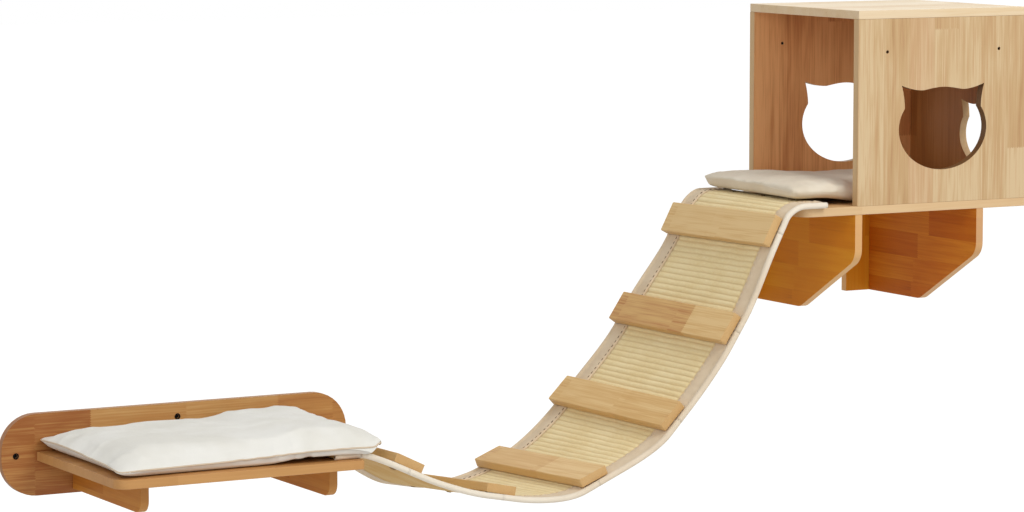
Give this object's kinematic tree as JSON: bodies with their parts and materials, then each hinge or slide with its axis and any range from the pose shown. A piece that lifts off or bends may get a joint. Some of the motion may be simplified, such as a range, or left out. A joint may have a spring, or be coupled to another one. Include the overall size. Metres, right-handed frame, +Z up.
{
  "type": "cat wall bridge",
  "caption": "Slatted fabric bridge hanging between a wall shelf with a small wooden house and a lower shelf on a wall board.",
  "frame": {"origin": "on the wall, at the top of the upper shelf, below the open left end of the house", "axes": "+X along the wall towards the house's closed side, +Y into the wall, +Z up"},
  "size_m": [1.926, 0.396, 0.8786],
  "materials": {
    "panel_wood": "clear satin lacquer",
    "bracket_wood": "clear satin lacquer",
    "slat_wood": "clear satin lacquer",
    "dowel_wood": "bare",
    "ribbed_fabric": "woven cross ribs",
    "border_fabric": "plain weave, bound edge",
    "upper_cushion_cloth": "plain weave canvas",
    "lower_cushion_cloth": "plain weave canvas",
    "black_metal": "matt black",
    "steel": "zinc plated"
  },
  "bodies": {
    "root": {"backboard": "bracket_wood", "backboard_cups": "black_metal", "lower_shelf": "panel_wood", "lower_bracket_left": "bracket_wood", "lower_bracket_right": "bracket_wood", "lower_shelf_screws": "steel", "backboard_screws": "steel", "upper_shelf": "panel_wood", "gusset_left": "bracket_wood", "gusset_right": "bracket_wood", "wall_plate_left": "bracket_wood", "wall_plate_right": "bracket_wood", "plate_screws": "steel", "gusset_screws": "steel", "house_front": "panel_wood", "house_back": "panel_wood", "house_side": "panel_wood", "house_top": "panel_wood", "house_dowels": "dowel_wood", "bridge_top_end": "ribbed_fabric", "bridge_top_screws": "steel", "bridge_bottom_end": "ribbed_fabric", "bridge_bottom_screws": "steel"},
    "section_1": {"slat_1": "slat_wood", "web_1": "ribbed_fabric", "border_1": "border_fabric", "slat_screws_1": "steel"},
    "section_2": {"slat_2": "slat_wood", "web_2": "ribbed_fabric", "border_2": "border_fabric", "slat_screws_2": "steel"},
    "section_3": {"slat_3": "slat_wood", "web_3": "ribbed_fabric", "border_3": "border_fabric", "slat_screws_3": "steel"},
    "section_4": {"slat_4": "slat_wood", "web_4": "ribbed_fabric", "border_4": "border_fabric", "slat_screws_4": "steel"},
    "section_5": {"slat_5": "slat_wood", "web_5": "ribbed_fabric", "border_5": "border_fabric", "slat_screws_5": "steel"},
    "section_6": {"slat_6": "slat_wood", "web_6": "ribbed_fabric", "border_6": "border_fabric", "slat_screws_6": "steel"},
    "upper_cushion": {"upper_cushion": "upper_cushion_cloth"},
    "lower_cushion": {"lower_cushion": "lower_cushion_cloth"}
  },
  "joints": [
    {"name": "bend_1", "type": "hinge", "parent": "root", "child": "section_1", "pos_m": [-0.12255, -0.196, 0.00564], "axis": [0, 1, -0.0002], "range_deg": [-0.7, 0.7]},
    {"name": "bend_2", "type": "hinge", "parent": "section_1", "child": "section_2", "pos_m": [-0.22144, -0.19746, -0.13309], "axis": [-0.0277, 0.9996, -0.0039], "range_deg": [-4.9, 4.9]},
    {"name": "bend_3", "type": "hinge", "parent": "section_2", "child": "section_3", "pos_m": [-0.33543, -0.19934, -0.29608], "axis": [-0.0676, 0.9976, 0.0118], "range_deg": [-6, 6], "stiffness_Nm_per_rad": 2},
    {"name": "bend_4", "type": "hinge", "parent": "section_3", "child": "section_4", "pos_m": [-0.47944, -0.20159, -0.43229], "axis": [-0.0631, 0.998, -0.0097], "range_deg": [-1.6, 1.6]},
    {"name": "bend_5", "type": "hinge", "parent": "section_4", "child": "section_5", "pos_m": [-0.66319, -0.2051, -0.50058], "axis": [-0.0441, 0.9977, -0.0524], "range_deg": [-4.9, 4.9]},
    {"name": "bend_6", "type": "hinge", "parent": "section_5", "child": "section_6", "pos_m": [-0.85446, -0.20672, -0.46175], "axis": [-0.0235, 0.9988, -0.0419], "range_deg": [-0.8, 0.8]},
    {"name": "upper_cushion_lift", "type": "slide", "parent": "root", "child": "upper_cushion", "axis": [0, 0, 1], "range_m": [0, 0.15]},
    {"name": "lower_cushion_lift", "type": "slide", "parent": "root", "child": "lower_cushion", "axis": [0, 0, 1], "range_m": [0, 0.15]}
  ],
  "couplings": [
    {"joint": "bend_1", "follows": "bend_3", "ratio": 0.11},
    {"joint": "bend_2", "follows": "bend_3", "ratio": -0.811},
    {"joint": "bend_4", "follows": "bend_3", "ratio": 0.25},
    {"joint": "bend_5", "follows": "bend_3", "ratio": -0.815},
    {"joint": "bend_6", "follows": "bend_3", "ratio": 0.125}
  ]
}
